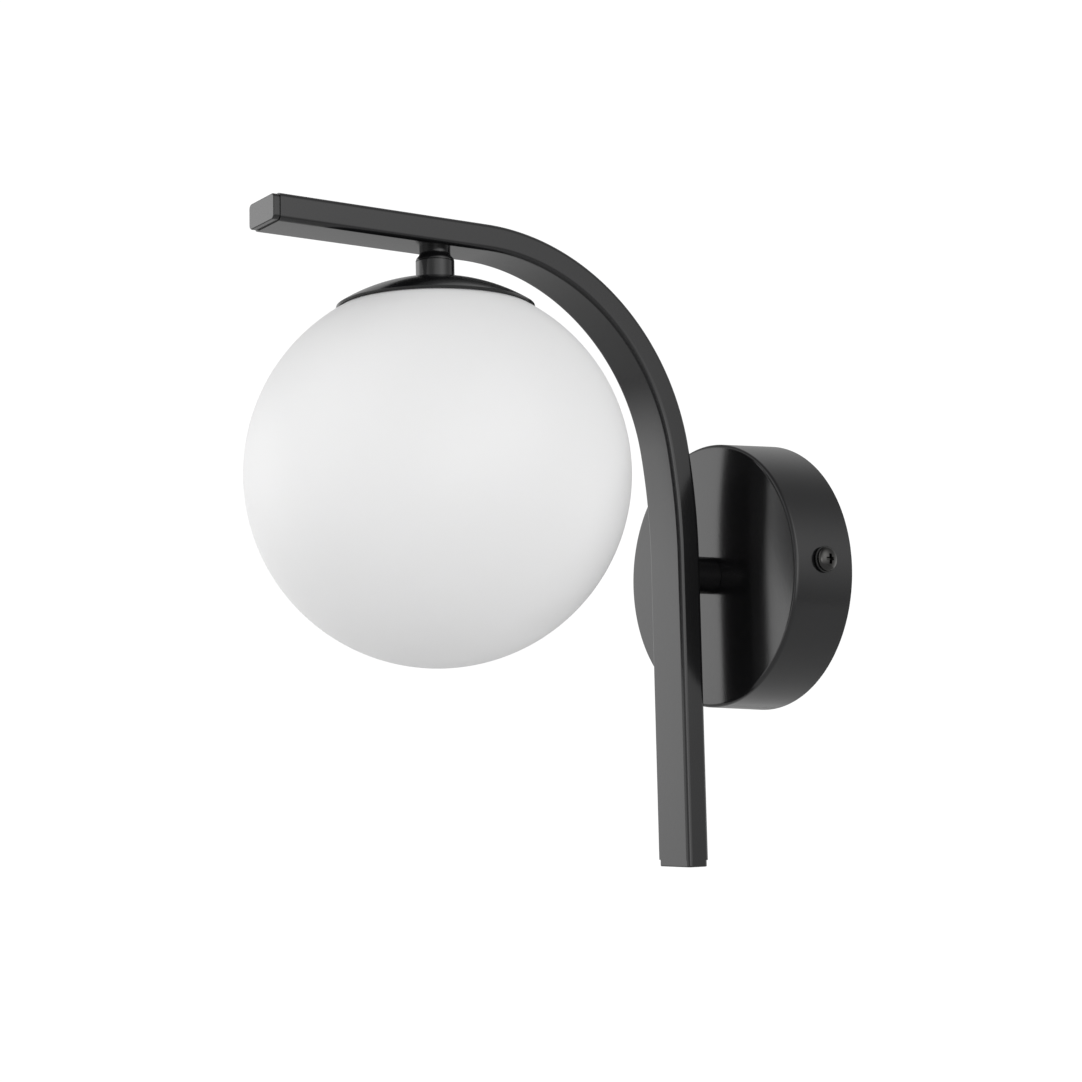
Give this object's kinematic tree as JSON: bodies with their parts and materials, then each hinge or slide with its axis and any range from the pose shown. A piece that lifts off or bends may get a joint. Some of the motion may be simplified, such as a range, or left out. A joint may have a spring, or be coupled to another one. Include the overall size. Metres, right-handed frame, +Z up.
{
  "type": "globe wall sconce",
  "caption": "Satin black wall light: round canopy, bent flat rectangular arm, shallow dish and a hanging opal glass globe over a capsule lamp.",
  "frame": {"origin": "middle of the canopy on the wall, between the two wall screws at the back of the bracket", "axes": "+X to the right seen from the room, +Y into the wall, +Z up; the light stands out towards -Y"},
  "size_m": [0.14, 0.2209, 0.2377],
  "materials": {
    "satin_black": "satin powder coat",
    "black_plug": "satin powder coat",
    "black_nickel": "polished black nickel",
    "black_nylon": "matt",
    "zinc_steel": "zinc plated",
    "white_plastic": "matt",
    "lamp_plastic": "gloss",
    "brass": "plain",
    "ceramic": "unglazed",
    "lamp_cover": "frosted",
    "opal_glass": "opal, satin",
    "silicone": "matt",
    "brown_sleeve": "satin",
    "blue_sleeve": "satin",
    "green_sleeve": "satin"
  },
  "bodies": {
    "fixture": {"wall_canopy": "satin_black", "arm_tube": "satin_black", "stub_bush": "satin_black", "neck_boss": "satin_black", "neck_collar": "satin_black", "dish": "satin_black", "arm_end_plug": "black_plug", "foot_plug": "black_plug", "mounting_bracket": "zinc_steel", "stub_washer": "zinc_steel", "stub_nut": "zinc_steel", "neck_washer": "zinc_steel", "neck_nut": "zinc_steel", "holder_bracket": "zinc_steel", "holder_screws": "zinc_steel", "stub_nipple": "zinc_steel", "neck_nipple": "zinc_steel", "globe_carrier": "zinc_steel", "earth_tag": "zinc_steel", "nipple_liner": "white_plastic", "terminal_block": "white_plastic", "terminal_tubes": "brass", "terminal_screws": "zinc_steel", "earth_screw": "brass", "lampholder_body": "ceramic", "lampholder_contacts": "brass", "live_wire": "brown_sleeve", "neutral_wire": "blue_sleeve", "earth_wire": "green_sleeve"},
    "seal": {"globe_gasket": "silicone"},
    "globe": {"globe_glass": "opal_glass"},
    "lamp": {"bulb_base": "lamp_plastic", "bulb_pins": "zinc_steel", "bulb_cover": "lamp_cover"},
    "washer_right": {"screw_washer_right": "black_nylon"},
    "screw_right": {"canopy_screw_right": "black_nickel"},
    "washer_left": {"screw_washer_left": "black_nylon"},
    "screw_left": {"canopy_screw_left": "black_nickel"}
  },
  "joints": [
    {"name": "globe_turn", "type": "hinge", "parent": "fixture", "child": "seal", "pos_m": [0, -0.1507, 0.0323], "axis": [0, 0, -1], "range_deg": [0, 540]},
    {"name": "globe_drop", "type": "slide", "parent": "seal", "child": "globe", "axis": [0, 0, -1], "range_m": [0, 0.11]},
    {"name": "lamp_pull", "type": "slide", "parent": "fixture", "child": "lamp", "axis": [0, 0, -1], "range_m": [0, 0.02]},
    {"name": "canopy_screw_right_out", "type": "slide", "parent": "fixture", "child": "washer_right", "axis": [1, 0, 0], "range_m": [0, 0.0049]},
    {"name": "canopy_screw_right_turn", "type": "hinge", "parent": "washer_right", "child": "screw_right", "pos_m": [0.053, -0.0133, 0.0019], "axis": [1, 0, 0], "range_deg": [0, 2521]},
    {"name": "canopy_screw_left_out", "type": "slide", "parent": "fixture", "child": "washer_left", "axis": [-1, 0, 0], "range_m": [0, 0.0049]},
    {"name": "canopy_screw_left_turn", "type": "hinge", "parent": "washer_left", "child": "screw_left", "pos_m": [-0.053, -0.0133, 0.0019], "axis": [-1, 0, 0], "range_deg": [0, 2521]}
  ],
  "couplings": [
    {"joint": "canopy_screw_right_turn", "follows": "canopy_screw_right_out", "rad_per_m": 8976},
    {"joint": "canopy_screw_left_turn", "follows": "canopy_screw_left_out", "rad_per_m": 8976}
  ]
}
